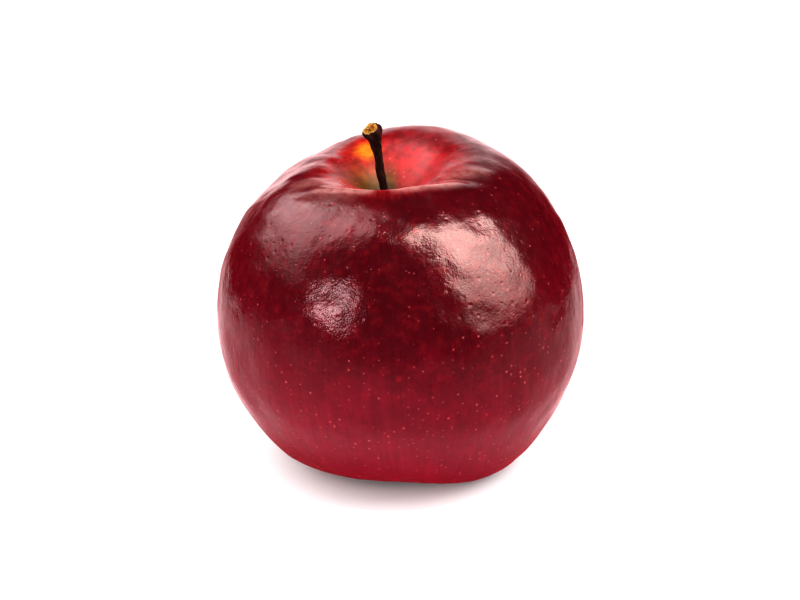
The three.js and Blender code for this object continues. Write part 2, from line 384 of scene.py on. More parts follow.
def new_piece(name, shapes, values=None):
    """One object from closed ring surfaces in millimetres. values maps an attribute's name to one
    array of vectors per shape, shaped as its rings."""
    vertices, faces, shift = [], [], 0
    for rings in shapes:
        corners, quads, triangles = closed_rings(rings)
        vertices.append(corners)
        faces += (quads + shift).tolist() + (triangles + shift).tolist()
        shift += len(corners)
    mesh = bpy.data.meshes.new(name)
    mesh.from_pydata(np.concatenate(vertices) * MM, [], faces)
    mesh.polygons.foreach_set("use_smooth", np.ones(len(mesh.polygons), bool))
    for label, fields in (values or {}).items():
        data = np.concatenate([closed_rings(field)[0] for field in fields])
        mesh.attributes.new(label, "FLOAT_VECTOR", "POINT").data.foreach_set("vector", data.ravel())
    mesh.update()
    piece = bpy.data.objects.new(name, mesh)
    bpy.context.collection.objects.link(piece)
    return piece


def dress(piece, node, material):
    """Gives a piece its material, hangs it under the root body and hides the node it stands for."""
    piece.data.materials.append(material)
    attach(piece, "root")
    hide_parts(node)


# ---- Shapes: the fruit ----

def dip(chord, hollow):
    """How deep a hollow is at a distance from its pole, as a share of its full depth: e to the
    minus distance over width, raised to its sharpness."""
    return np.exp(-((chord / hollow["width"]) ** hollow["sharpness"]))


def stand(points):
    """Leans points of the upright fruit towards -X and lifts them to where the fruit stands."""
    lean = math.radians(LEAN)
    x = points[..., 0] * math.cos(lean) - points[..., 2] * math.sin(lean)
    z = points[..., 0] * math.sin(lean) + points[..., 2] * math.cos(lean) + MIDDLE_HEIGHT
    return vectors(x, points[..., 1], z)


def fold(plane, spread, route):
    """How far a fold rises at each point of the plane round the stem end, as a share of its
    height: a bell curve of the distance to its route, a chain of straight steps, that fades out
    with the fourth power of the distance along it from its middle."""
    azimuth, distance = np.array(route).T
    places = vectors(np.cos(np.radians(azimuth)), np.sin(np.radians(azimuth))) * distance[:, None]
    rise = np.zeros(plane.shape[:-1])
    for index, (start, end) in enumerate(zip(places[:-1], places[1:])):
        step = end - start
        share = np.clip((plane - start) @ step / (step @ step), 0, 1)
        off = np.linalg.norm(plane - start - share[..., None] * step, axis=-1)
        along = 2 * (index + share) / (len(places) - 1) - 1
        rise = np.maximum(rise, bell(off, 0, spread) * (1 - along**4))
    return rise


def fold_plane(azimuth, polar):
    """The plane that the folds' routes lie in: each point of the skin, at its azimuth and its
    chord from the stem end."""
    return 2 * np.sin(polar / 2)[..., None] * vectors(np.cos(azimuth), np.sin(azimuth))


def skin_points(azimuth, polar):
    """The skin, from the middle outwards: a body whose two halves have their own height and
    fullness, plus five lobes at the shoulder and at the foot, each a bell round its azimuth times
    a bell down the side, and the folds round the cavity, less the cavity, the basin and the eye's
    pit, plus low swellings all over and pleats round the eye. It is leaned, and what would reach
    below the ground is pressed flat."""
    across, up = np.sin(polar), np.cos(polar)
    upper = 0.5 * (1 + np.tanh(HALVES_BLEND * up))
    end = EYE_END + (STEM_END - EYE_END) * upper
    roundness = EYE_END_ROUNDNESS + (STEM_END_ROUNDNESS - EYE_END_ROUNDNESS) * upper
    girth = GIRTH_RADIUS * (1 - LOW_BELLY * up * across**2)
    reach = ((across / girth) ** roundness + np.abs(up / end) ** roundness) ** (-1 / roundness)
    degrees = np.degrees(polar)
    for lobe, shoulder, knob in LOBES:
        nearness = np.exp(LOBE_TIGHTNESS * (np.cos(azimuth - math.radians(lobe)) - 1))
        reach += nearness * (shoulder * bell(degrees, *SHOULDER_BAND) + knob * bell(degrees, *KNOB_BAND))
    plane = fold_plane(azimuth, polar)
    for height, spread, route in FOLDS:
        reach += height * fold(plane, spread, route)
    cavity = dip(2 * np.sin(polar / 2), CAVITY)
    reach -= CAVITY["depth"] * cavity
    from_eye = 2 * np.cos(polar / 2)
    reach -= BASIN["depth"] * dip(from_eye, BASIN) + EYE_PIT["depth"] * dip(from_eye, EYE_PIT)
    bearing = vectors(across * np.cos(azimuth), across * np.sin(azimuth), up)
    for wavelength, height, seed in SWELLINGS:
        reach += height * swelling(bearing * GIRTH_RADIUS, wavelength, seed)
    wander = swelling(bearing * GIRTH_RADIUS, PLEATS_WANDER["wavelength"], PLEATS_WANDER["seed"])
    pleats = np.cos(PLEATS["count"] * azimuth + PLEATS_WANDER["height"] * wander)
    reach += PLEATS["height"] * pleats * bell(from_eye, PLEATS["centre"], PLEATS["spread"])
    points = reach[..., None] * bearing
    points[..., 0] -= CAVITY_DRIFT * cavity
    points = stand(points)
    points[..., 2] = np.maximum(points[..., 2], 0)
    return points


def painted_sheen_share(azimuth, polar):
    """How much painted sheen, a stand-in for a reflection, each point has: the greatest, among the
    crests, of a crest's share times the bell curve of the distance to its route."""
    plane = fold_plane(azimuth, polar)
    return np.maximum.reduce([share * fold(plane, spread, route) for share, spread, route in SHEEN_CRESTS])


def make_skin(material):
    """The skin on a grid of azimuth and of angle down from the stem end, with its rings closer
    together in the cavity and the basin. The attribute "lay" holds the direction round the core
    and that angle in radians, and the other attribute how much painted sheen, a stand-in for a
    reflection, it has."""
    ring = (np.arange(SKIN_RINGS) + 0.25) / (SKIN_RINGS - 0.5) * np.pi
    polar = ring - POLE_CROWDING / 2 * np.sin(2 * ring)
    polar, azimuth = np.meshgrid(polar, turn(SKIN_SECTORS), indexing="ij")
    points = skin_points(azimuth, polar)
    lay = vectors(np.cos(azimuth), np.sin(azimuth), polar)
    sheen_paint = np.repeat(painted_sheen_share(azimuth, polar)[..., None], 3, axis=-1)
    piece = new_piece("fruit_skin", [points[::-1]], {"lay": [lay[::-1]], "sheen_paint": [sheen_paint[::-1]]})
    dress(piece, "fruit", material)


# ---- Shapes: the stem ----

def broken_end(radius, spokes, middle, along):
    """Rings that close the stem, from its last ring's radius to its middle: a raised rim, a bell
    curve of the share of the radius, then a shallow dish, roughened by swellings. With them comes
    each ring's share of the radius."""
    inward = np.linspace(1, 0, BREAK_RINGS + 1)[1:]
    rim = BREAK_RIM["height"] * bell(inward, BREAK_RIM["centre"], BREAK_RIM["spread"])
    lift = (rim - BREAK_DISH_DEPTH * (1 - inward**2) ** 2)[:, None]
    face = middle + (radius * inward[:, None])[..., None] * spokes
    for height, wavelength, seed in BREAK_SWELLINGS:
        lift = lift + height * swelling(face, wavelength, seed)
    face = face + lift[..., None] * along
    return face[:-1], inward[:-1]


def make_stem(material):
    """The stem: rings square to its route, of its girth at that share of its length, furrowed by
    ridges that wind slowly round it and roughened by swellings drawn out along it, and closed by
    the broken-off end. The attribute "bark" holds the direction round the stem and the
    millimetres along it, and "break" is 1 on the broken-off end, with the share of the radius."""
    shares = np.linspace(0, 1, STEM_STEPS)
    route = smooth_route(STEM_ROUTE, shares)
    right, ahead, along = frames_along(route)
    girth = np.interp(shares, *zip(*STEM_GIRTH))
    angle = turn(STEM_SIDES)
    length = np.linalg.norm(np.diff(route, axis=0), axis=1).sum()
    bark = vectors(np.cos(angle)[None, :], np.sin(angle)[None, :], shares[:, None] * length)
    relief = np.ones((STEM_STEPS, STEM_SIDES))
    for count, share, turns in BARK_RIDGES:
        relief += share * np.cos(count * angle[None, :] + 2 * np.pi * turns * shares[:, None])
    for share, wavelength, drawn_out, seed in BARK_SWELLINGS:
        relief += share * swelling(bark * np.array([1, 1, drawn_out]), wavelength, seed)
    radius = girth[:, None] * relief
    spokes = (right[:, None, :] * np.cos(angle)[None, :, None]
              + ahead[:, None, :] * np.sin(angle)[None, :, None])
    side = route[:, None, :] + radius[..., None] * spokes
    face, inward = broken_end(radius[-1], spokes[-1], route[-1], along[-1])
    rings = np.concatenate((side, face))

    on_break = np.zeros(rings.shape)
    on_break[STEM_STEPS:, :, 0] = 1
    on_break[STEM_STEPS:, :, 1] = inward[:, None]
    laid = np.concatenate((bark, np.repeat(bark[-1:], len(face), axis=0)))
    piece = new_piece("stalk", [rings], {"bark": [laid], "break": [on_break]})
    dress(piece, "stem", material)


# ---- Shapes: the calyx ----

# What the lobes' knobs still add to the skin's reach at the eye itself, on the side of +X.
KNOB_AT_EYE = sum(
    knob * math.exp(LOBE_TIGHTNESS * (math.cos(math.radians(lobe)) - 1))
    * float(bell(180, *KNOB_BAND)) for lobe, _, knob in LOBES)


def at_eye(points):
    """Moves points made with their origin at the eye, and the fruit's inside above it, to the
    fruit's own eye."""
    eye = EYE_END - BASIN["depth"] + KNOB_AT_EYE
    return stand(points - np.array([0, 0, eye]))


def make_cup(material):
    """The plug that the calyx grows from: a profile turned round the eye's axis, with its wall
    roughened by swellings."""
    shares = np.linspace(0, 1, CUP_STEPS)
    knots = np.linspace(0, 1, len(CUP_PROFILE))
    radius, height = (np.interp(shares, knots, values)[1:-1, None] for values in zip(*CUP_PROFILE))
    angle = turn(CUP_SIDES)
    rings = vectors(radius * np.cos(angle), radius * np.sin(angle), height)
    dents = np.abs(swelling(rings, CUP_WALL["wavelength"], CUP_WALL["seed"]))
    rings = rings * (1 - CUP_WALL["roughness"] * dents)[..., None]
    piece = new_piece("calyx_cup", [at_eye(rings[::-1])], {"leaf": [rings[::-1]]})
    dress(piece, "calyx", material)


def sepal_rings(azimuth, length, curl, sweep, seed):
    """One dried leaflet, as rings of its lens-shaped section from root to tip: it grows down out
    of the cup, bends outwards and sideways with the square of the distance, narrows to its tip,
    is creased along its rib and crumpled by swellings. With the rings comes their place on the
    leaf laid flat."""
    out = np.array([math.cos(math.radians(azimuth)), math.sin(math.radians(azimuth)), 0])
    side = np.array([-out[1], out[0], 0])
    along = np.linspace(0, 1, SEPAL_STEPS)[:, None]
    angle = turn(SEPAL_SIDES)[None, :]
    half_width = SEPAL["width"] / 2 * np.sqrt(1 - SEPAL_TIP["narrowing"] * along**SEPAL_TIP["power"])
    across = half_width * np.cos(angle)
    thickness = SEPAL["thickness"] * (1 - SEPAL_TIP["thinning"] * along)
    crease = SEPAL["fold"] * (across / SEPAL["width"]) ** 2 * 4
    course = SEPAL_COURSE
    depth = SEPAL["start"] - length * course["drop"] * (along - course["levelling"] * along**3)
    flat = vectors(across, along * length, 0)
    reach = SEPAL["root"] + length * (course["lean"] * along + course["bend"] * curl * along**2)
    height, wavelength = SEPAL_CRUMPLES["outwards"]
    crumples = height * along * swelling(flat, wavelength, seed)
    reach = reach + thickness / 2 * np.sin(angle) - crease + crumples
    swept = sweep * along**2 + across
    rings = reach[..., None] * out + swept[..., None] * side
    height, wavelength = SEPAL_CRUMPLES["downwards"]
    rings[..., 2] = depth + height * swelling(flat, wavelength, seed + 1)
    return rings, flat


def make_sepals(material):
    """The five dried sepals, each with its own length, curl, sweep and crumples."""
    shapes, fields = zip(*(
        sepal_rings(*sepal, seed=SEPAL_SEED + 2 * index) for index, sepal in enumerate(SEPALS)))
    piece = new_piece("sepals", [at_eye(rings) for rings in shapes], {"leaf": fields})
    dress(piece, "calyx", material)


def stamen_rings(index):
    """One dried filament of the cup's hollow, as rings from root to tip: a thin rod that splays
    out from a ring, bends a little with the square of the distance and has a shrivelled head. Its
    splay, length and bend go through short cycles with its number."""
    along = np.linspace(0, 1, STAMEN_STEPS)[:, None]
    angle = turn(STAMEN_SIDES)[None, :]
    azimuth = index / STAMENS["count"] * 2 * np.pi
    least, head = STAMEN_LEAST, STAMEN_HEAD
    splay = STAMENS["splay"] * (least["splay"] + (1 - least["splay"]) * (index * 3 % 5) / 4)
    length = STAMENS["length"] * (least["length"] + (1 - least["length"]) * (index * 2 % 3) / 2)
    rod = vectors(np.cos(angle), np.sin(angle), 4 * along)
    wrinkles = swelling(rod, STAMEN_WRINKLES["wavelength"], STAMEN_WRINKLES["seed"] + index)
    swell = head["swell"] * bell(along, head["place"], head["spread"])
    radius = 1 - STAMEN_THINNING * along + swell + STAMEN_WRINKLES["height"] * wrinkles
    beyond = ((along - head["place"]) / (1 - head["place"])).clip(0)
    radius = STAMENS["radius"] * radius * np.sqrt(np.clip(1 - beyond**2, 0.02, 1))
    outwards = STAMEN_BENDS["outwards"] * along**2 * (index % 3 - 1)
    reach = STAMENS["ring"] + length * (math.sin(splay) * along + outwards)
    x = reach + radius * np.cos(angle)
    y = radius * np.sin(angle) + STAMEN_BENDS["sideways"] * along**2 * (index % 4 - 1.5)
    z = STAMEN_ROOT_HEIGHT - length * math.cos(splay) * along
    rings = vectors(x * math.cos(azimuth) - y * math.sin(azimuth),
                    x * math.sin(azimuth) + y * math.cos(azimuth), z)
    return rings[:, ::-1]


def make_stamens(material):
    """The dried filaments, spaced evenly round the cup's hollow."""
    fields = [stamen_rings(index) for index in range(STAMENS["count"])]
    piece = new_piece("stamens", [at_eye(rings) for rings in fields], {"leaf": fields})
    dress(piece, "calyx", material)


# ---- Materials: the tools ----

COLOUR, VALUE, VECTOR = "NodeSocketColor", "NodeSocketFloat", "NodeSocketVector"


class Nodes:
    """Adds nodes to one tree. Inputs are given by name or number, as a value or as a link."""

    def __init__(self, tree):
        self.tree = tree

    def feed(self, node, inputs):
        """Links or sets a node's inputs."""
        for label, value in inputs.items():
            socket = node.inputs[label]
            if isinstance(value, bpy.types.NodeSocket):
                self.tree.links.new(value, socket)
            else:
                socket.default_value = value

    def add(self, kind, inputs=None, **settings):
        """Adds a node with its settings, and feeds its inputs."""
        node = self.tree.nodes.new(kind)
        for label, value in settings.items():
            setattr(node, label, value)
        self.feed(node, inputs or {})
        return node

    def math(self, operation, first, second):
        """What an operation makes of two values."""
        return self.add("ShaderNodeMath", {0: first, 1: second}, operation=operation).outputs[0]

    def plus(self, first, *others):
        """The sum of some values."""
        for other in others:
            first = self.math("ADD", first, other)
        return first

    def times(self, first, *others):
        """The product of some values."""
        for other in others:
            first = self.math("MULTIPLY", first, other)
        return first

    def vector_math(self, operation, first, second):
        """What an operation makes of two vectors: as a vector and as a value."""
        return self.add("ShaderNodeVectorMath", {0: first, 1: second}, operation=operation).outputs

    def scaled(self, vector, scale):
        """A vector times a value."""
        return self.add("ShaderNodeVectorMath", {0: vector, "Scale": scale}, operation="SCALE").outputs[0]

    def stretched(self, vector, x, y, z):
        """A vector whose components are each times a number: less draws a pattern out."""
        return self.vector_math("MULTIPLY", vector, (x, y, z))[0]

    def parts(self, vector):
        """The three components of a vector."""
        return self.add("ShaderNodeSeparateXYZ", {0: vector}).outputs

    def grey(self, value):
        """A value as a grey."""
        return self.add("ShaderNodeCombineColor", {0: value, 1: value, 2: value}).outputs[0]

    def ramp(self, value, low, high, to_low=0.0, to_high=1.0):
        """Runs smoothly from to_low to to_high while the value goes from low to high."""
        node = self.add("ShaderNodeMapRange", {0: value, 1: low, 2: high, 3: to_low, 4: to_high},
                        interpolation_type="SMOOTHSTEP")
        return node.outputs[0]

    def mix(self, share, first, second, blend="MIX"):
        """The second colour over the first by a share, or blended into it."""
        node = self.add("ShaderNodeMix", {0: share, 6: first, 7: second}, data_type="RGBA",
                        blend_type=blend)
        return node.outputs[2]

    def noise(self, vector, scale, detail=2.0, roughness=0.5):
        """Cloudy noise from 0 to 1, of so many features to a millimetre or unit."""
        node = self.add("ShaderNodeTexNoise", {"Vector": vector, "Scale": scale, "Detail": detail,
                                               "Roughness": roughness})
        return node.outputs["Fac"]

    def bump(self, height, distance, strength):
        """A normal tilted by a height, of which 1 stands for the distance in millimetres."""
        return self.add("ShaderNodeBump", {
            "Height": height, "Distance": distance * MM, "Strength": strength}).outputs[0]

    def attribute(self, name, output="Vector"):
        """One of the mesh's own attributes."""
        return self.add("ShaderNodeAttribute", attribute_name=name).outputs[output]

    def millimetres(self):
        """Object coordinates in millimetres."""
        return self.scaled(self.add("ShaderNodeTexCoord").outputs["Object"], 1 / MM)


def empty_material(name):
    """A material with no nodes yet, and what adds them."""
    material = bpy.data.materials.new(name)
    material.use_nodes = True
    material.node_tree.nodes.clear()
    return material, Nodes(material.node_tree)


def new_material(name):
    """A material with a Principled shader: the material, its nodes and the shader."""
    material, nodes = empty_material(name)
    shader = nodes.add("ShaderNodeBsdfPrincipled")
    nodes.add("ShaderNodeOutputMaterial", {0: shader.outputs[0]})
    return material, nodes, shader


def new_group(name, inputs, outputs):
    """A node group with named sockets of the given kinds: the group, its nodes, the sockets that
    give its inputs and those that take its outputs."""
    group = bpy.data.node_groups.new(name, "ShaderNodeTree")
    for label, kind in inputs.items():
        group.interface.new_socket(label, in_out="INPUT", socket_type=kind)
    for label, kind in outputs.items():
        group.interface.new_socket(label, in_out="OUTPUT", socket_type=kind)
    nodes = Nodes(group)
    return group, nodes, nodes.add("NodeGroupInput").outputs, nodes.add("NodeGroupOutput")


def near(nodes, place, centre, core, edge, warp):
    """1 within core millimetres of a centre, 0 beyond edge, with the distance warped."""
    distance = nodes.plus(nodes.vector_math("DISTANCE", place, centre)[1], warp)
    return nodes.ramp(distance, core, edge, 1.0, 0.0)


def spots(nodes, place, per_mm, edge, sparseness):
    """Up to 1 in round spots strewn at random, each of its own size and strength, of which only
    those above the sparseness are kept. The edge is the largest radius, as a share of the
    spacing."""
    cells = nodes.add("ShaderNodeTexVoronoi", {"Vector": place, "Scale": per_mm})
    drawn = nodes.add("ShaderNodeSeparateColor", {0: cells.outputs["Color"]})
    kept = nodes.math("GREATER_THAN", drawn.outputs[0], sparseness)
    kept = nodes.times(kept, nodes.ramp(drawn.outputs[1], 0.0, 1.0, 0.25, 1.0))
    reach = nodes.ramp(drawn.outputs[2], 0.0, 1.0, 0.5 * edge, edge)
    return nodes.times(nodes.ramp(cells.outputs["Distance"], 0.0, reach, 1.0, 0.0), kept)


# ---- Materials: the skin ----

class SkinFields:
    """Sockets that the skin's colours and its relief share: the place in millimetres, how far it
    lies across and up, the lay round the core, the angle down from the stem end in radians, broad
    clouds, and streaks drawn out from end to end. Clouds and streaks go from -0.5 to 0.5."""

    def __init__(self, nodes):
        self.place = nodes.millimetres()
        self.across, _, self.height = nodes.parts(self.place)
        self.lay = nodes.attribute("lay")
        self.down = nodes.parts(self.lay)[2]
        self.clouds = nodes.plus(nodes.noise(self.place, 0.11, 4, 0.6), -0.5)
        self.streaks = nodes.plus(nodes.noise(nodes.stretched(self.lay, 38, 38, 2.2), 0.9, 4, 0.6), -0.5)


def ground_colour(nodes, skin):
    """Wine red, burgundy on the flank towards the camera, where it is partly painted shade, and on
    the right shoulder, then redder in two steps towards the base, from higher up on the lighter
    side, where it is partly painted light. The clouds warp every edge."""
    # Partly painted shade: burgundy on the flank towards the camera.
    shaded_front = nodes.plus(nodes.vector_math("DOT_PRODUCT", skin.lay, DARK_AND_SHADED_FRONT)[1], skin.clouds)
    shoulder = nodes.times(nodes.ramp(skin.across, 3.0, 14.0), nodes.ramp(skin.down, 1.0, 1.4, 1.0, 0.0))
    dark = nodes.math("MAXIMUM", nodes.ramp(shaded_front, 0.6, 0.98), shoulder)
    # Partly painted light: redder from higher up on the left front flank.
    lit_side = nodes.vector_math("DOT_PRODUCT", skin.lay, REDDER_AND_LIT_SIDE)[1]
    ripe = nodes.plus(skin.down, nodes.times(skin.clouds, 0.7), nodes.times(lit_side, 0.3))
    colour = nodes.mix(dark, WINE, BURGUNDY)
    colour = nodes.mix(nodes.ramp(ripe, 1.3, 2.35), colour, DEEP_RED)
    return nodes.mix(nodes.ramp(ripe, 2.2, 2.8), colour, BASE_RED)


def end_colours(nodes, skin, colour):
    """The colours of the two ends over the ground: the cavity's red and its patches, the first of
    them a painted reflection, an olive foot that is faint right of the stem, a painted shadow of
    the stem on the wall behind it, and gold round the eye. Clouds or streaks warp every edge."""
    inside = nodes.ramp(nodes.plus(skin.down, nodes.times(skin.streaks, 0.2)), 0.38, 0.58, 1.0, 0.0)
    colour = nodes.mix(inside, colour, CAVITY_RED)
    for patch, centre, core, edge, warp in CAVITY_PATCHES:
        share = near(nodes, skin.place, centre, core, edge, nodes.times(skin.clouds, warp))
        colour = nodes.mix(share, colour, patch)
    foot = nodes.ramp(nodes.plus(skin.height, nodes.times(skin.streaks, 6.0)), 61.5, 66.5, 1.0, 0.0)
    olive = nodes.times(foot, nodes.ramp(skin.down, 0.36, 0.46, 1.0, 0.0),
                        nodes.ramp(skin.across, -2.0, 0.4, 1.0, 0.12))
    colour = nodes.mix(olive, colour, OLIVE)
    # Painted shadow of the stem's foot on the wall behind it.
    stem_shadow = near(nodes, skin.place, STEM_SHADOW_PLACE, 2.5, 6.0, nodes.times(skin.clouds, 3.0))
    colour = nodes.mix(stem_shadow, colour, STEM_SHADOW)
    eye = nodes.ramp(nodes.plus(skin.down, nodes.times(skin.streaks, 0.25)), 2.72, 3.02)
    return nodes.mix(nodes.times(eye, 0.8), colour, EYE_GOLD)


def marked_colour(nodes, skin, colour, dots):
    """The skin's marks over its colour: streaks and blotches that shade it, mottles, a flush and
    round spots of a brighter red, a painted sheen on the crests that stands in for their
    reflection, broken by noise, and the dots."""
    shade = nodes.grey(nodes.plus(1.0, nodes.times(skin.streaks, 0.9)))
    colour = nodes.mix(nodes.ramp(skin.down, 0.35, 0.8, 0.15, 0.7), colour, shade, "MULTIPLY")
    blotches = nodes.grey(nodes.ramp(nodes.noise(skin.place, 0.5, 3, 0.6), 0.35, 0.65, 0.6, 1.1))
    colour = nodes.mix(nodes.ramp(skin.down, 0.4, 0.7, 0.8, 0.15), colour, blotches, "MULTIPLY")
    mottles = nodes.ramp(nodes.noise(skin.place, 0.45, 5, 0.7), 0.45, 0.75)
    mottles = nodes.times(mottles, nodes.ramp(skin.down, 0.5, 0.8, 0.0, 0.3))
    colour = nodes.mix(mottles, colour, BLUSH)
    flush = near(nodes, skin.place, FLUSH_PLACE, 3.0, 10.0, nodes.times(skin.clouds, 6.0))
    colour = nodes.mix(nodes.times(flush, 0.18), colour, BLUSH)
    # Painted sheen on the crests, standing in for their reflection.
    broken = nodes.ramp(nodes.noise(skin.place, 0.7, 3, 0.6), 0.25, 0.6, 0.45, 0.95)
    sheen_paint = nodes.times(nodes.parts(nodes.attribute("sheen_paint"))[0], broken)
    colour = nodes.mix(sheen_paint, colour, PAINTED_SHEEN)
    blush = spots(nodes, skin.place, 0.3, 0.28, nodes.ramp(skin.down, 0.6, 1.4, 0.9, 0.8))
    colour = nodes.mix(nodes.times(blush, 0.6), colour, BLUSH)
    return nodes.mix(nodes.times(dots, 0.65), colour, DOT)


def skin_relief(nodes, skin, dots):
    """The skin's normal: orange peel, fine pits and round dents, shallower in the cavity and
    towards the base, with creases down the cavity's wall and dots that stand out a little."""
    peel = nodes.times(nodes.noise(skin.place, 0.8, 2, 0.5), 0.07)
    pits = nodes.times(nodes.noise(skin.place, 2.6, 2, 0.6), 0.04)
    dents = nodes.times(spots(nodes, skin.place, 0.6, 0.45, 0.4), -0.065)
    relief = nodes.times(nodes.plus(peel, pits, dents),
                         nodes.ramp(skin.down, 1.5, 2.4, 1.0, 0.45),
                         nodes.ramp(skin.down, 0.4, 0.9, 0.3, 1.0))
    creases = nodes.noise(nodes.stretched(skin.lay, 14, 14, 1.5), 1.0, 2, 0.5)
    creases = nodes.times(creases, nodes.ramp(skin.down, 0.5, 1.0, 0.02, 0.0))
    return nodes.bump(nodes.plus(relief, creases, nodes.times(dots, 0.004)), 1, 1.0)


def skin_material():
    """Apple skin: the ground, the colours of its ends and its marks, under a coat of wax whose
    gloss varies in broad patches and is dull in the cavity."""
    material, nodes, shader = new_material("apple_skin")
    skin = SkinFields(nodes)
    dots = spots(nodes, skin.place, 1.0, 0.44, nodes.ramp(skin.down, 0.9, 2.4, 0.9, 0.6))
    colour = end_colours(nodes, skin, ground_colour(nodes, skin))
    gloss = nodes.ramp(nodes.noise(skin.place, 0.4, 3, 0.6), 0.3, 0.7, 0.13, 0.19)
    nodes.feed(shader, {
        "Base Color": marked_colour(nodes, skin, colour, dots),
        "Roughness": nodes.plus(gloss, nodes.ramp(skin.down, 0.1, 0.5, 0.45, 0.0)),
        "IOR": 1.31,
        "Specular Tint": (1, 0.84, 0.82, 1),
        "Sheen Weight": 0.32,
        "Sheen Roughness": 0.3,
        "Sheen Tint": (1, 0.02, 0.06, 1),
        "Coat Weight": 0.06,
        "Coat Roughness": 0.3,
        "Coat IOR": 1.3,
        "Normal": skin_relief(nodes, skin, dots),
    })
    return material


# ---- Materials: the stem and the calyx ----

def bark_material():
    """Stem bark: nearly black brown, paler on the ridges, drawn out along the stem. The broken-off
    end is tan wood with dark specks and a paler rim."""
    material, nodes, shader = new_material("stem_bark")
    bark = nodes.attribute("bark")
    fibres = nodes.noise(nodes.stretched(bark, 1, 1, 0.25), 3.0, 5, 0.65)
    blotches = nodes.noise(nodes.stretched(bark, 1, 1, 0.6), 1.2, 3, 0.5)
    colour = nodes.mix(nodes.ramp(fibres, 0.42, 0.72), BARK_BLACK, BARK_BROWN)
    colour = nodes.mix(nodes.ramp(blotches, 0.5, 0.75), colour, BARK_RED)
    on_break, radius, _ = nodes.parts(nodes.attribute("break"))
    specks = nodes.noise(nodes.millimetres(), 2.6, 3, 0.6)
    wood = nodes.mix(nodes.ramp(specks, 0.42, 0.6), WOOD_SPECKS, WOOD_TAN)
    wood = nodes.mix(nodes.ramp(radius, 0.74, 0.9), wood, WOOD_RIM)
    nodes.feed(shader, {
        "Base Color": nodes.mix(nodes.ramp(on_break, 0.3, 0.7), colour, wood),
        "Roughness": nodes.ramp(fibres, 0.3, 0.7, 0.55, 0.85),
        "Specular IOR Level": 0.06,
        "Normal": nodes.bump(fibres, 0.12, 0.8),
    })
    return material


def dried_leaf_group():
    """Dried leaf, for any material: mottles between a dark and a light brown, paler veins drawn
    out along the leaf, and the roughness of a felt of short hairs."""
    group, nodes, given, result = new_group(
        "dried_leaf",
        {"Leaf": VECTOR, "Dark": COLOUR, "Light": COLOUR},
        {"Colour": COLOUR, "Roughness": VALUE, "Veins": VALUE})
    veins = nodes.noise(nodes.stretched(given["Leaf"], 1, 0.3, 0.3), 2.6, 4, 0.6)
    mottles = nodes.noise(given["Leaf"], 0.9, 4, 0.6)
    colour = nodes.mix(nodes.ramp(mottles, 0.35, 0.65), given["Dark"], given["Light"])
    nodes.feed(result, {
        "Colour": nodes.mix(nodes.ramp(veins, 0.5, 0.75), colour, LEAF_VEINS),
        "Roughness": nodes.ramp(mottles, 0.3, 0.7, 0.75, 0.95),
        "Veins": veins,
    })
    return group


def dried_leaf_material(name, group, browns):
    """One of the calyx's materials: dried leaf between its own dark and light brown."""
    material, nodes, shader = new_material(name)
    dark, light = browns
    leaf = nodes.add("ShaderNodeGroup", {"Leaf": nodes.attribute("leaf"), "Dark": dark, "Light": light},
                     node_tree=group)
    nodes.feed(shader, {
        "Base Color": leaf.outputs["Colour"],
        "Roughness": leaf.outputs["Roughness"],
        "Specular IOR Level": 0.2,
        "Sheen Weight": 0.3,
        "Normal": nodes.bump(leaf.outputs["Veins"], 0.15, 0.8),
    })
    return material


# ---- The studio ----

def direction(azimuth, elevation):
    """A unit vector: azimuth 0 is towards the camera's side, 90 towards +X."""
    azimuth, elevation = np.radians(azimuth), np.radians(elevation)
    return vectors(np.sin(azimuth) * np.cos(elevation), -np.cos(azimuth) * np.cos(elevation),
                   np.sin(elevation))


def make_camera():
    """The camera, at its distance and elevation from the point that it aims at."""
    data = bpy.data.cameras.new("camera")
    data.lens = CAMERA["lens"]
    data.sensor_width = CAMERA["film"]
    data.clip_start = CAMERA_NEAREST * MM
    camera = bpy.data.objects.new("camera", data)
    back = direction(0, CAMERA["elevation"])
    camera.location = (np.array(CAMERA["aim"]) + back * CAMERA["distance"]) * MM
    camera.rotation_euler = (math.radians(90 - CAMERA["elevation"]), 0, 0)
    bpy.context.collection.objects.link(camera)
    bpy.context.scene.camera = camera


def floor_material():
    """A white sweep that greys with the distance, a painted pool of light round the fruit, and has a
    painted shadow under the fruit. In reflections it also darkens near the fruit, far in front of it
    and towards the right."""
    material, nodes, shader = new_material("white_sweep")
    place = nodes.millimetres()
    across, behind, _ = nodes.parts(place)
    away = nodes.add("ShaderNodeVectorMath", {0: place}, operation="LENGTH").outputs[1]
    away = nodes.plus(away, nodes.times(nodes.noise(place, 0.02), 8.0))
    # Painted pool of light: white near the fruit, grey beyond about 70 mm from the middle.
    colour = nodes.mix(nodes.ramp(away, 40.0, 70.0), FLOOR_WHITE, FLOOR_GREY)
    # Painted contact shadow: darker within about 26 mm of the middle.
    colour = nodes.mix(nodes.ramp(away, 17.0, 26.0, 0.5, 0.0), colour, FLOOR_SHADE)
    in_front = nodes.math("SUBTRACT", away, nodes.times(behind, 1.5))
    mirrored = nodes.times(nodes.ramp(away, 30.0, 52.0, 0.1, 1.0),
                           nodes.ramp(in_front, 150.0, 700.0, 1.0, 0.2),
                           nodes.ramp(behind, -20.0, 40.0, 1.0, 1.1),
                           nodes.ramp(across, -40.0, 60.0, 1.0, 0.75))
    mirrored = nodes.mix(1.0, colour, nodes.grey(mirrored), "MULTIPLY")
    reflected = nodes.add("ShaderNodeLightPath").outputs["Is Glossy Ray"]
    nodes.feed(shader, {
        "Base Color": nodes.mix(reflected, colour, mirrored),
        "Roughness": 0.8,
        "Specular IOR Level": 0.1,
    })
    return material


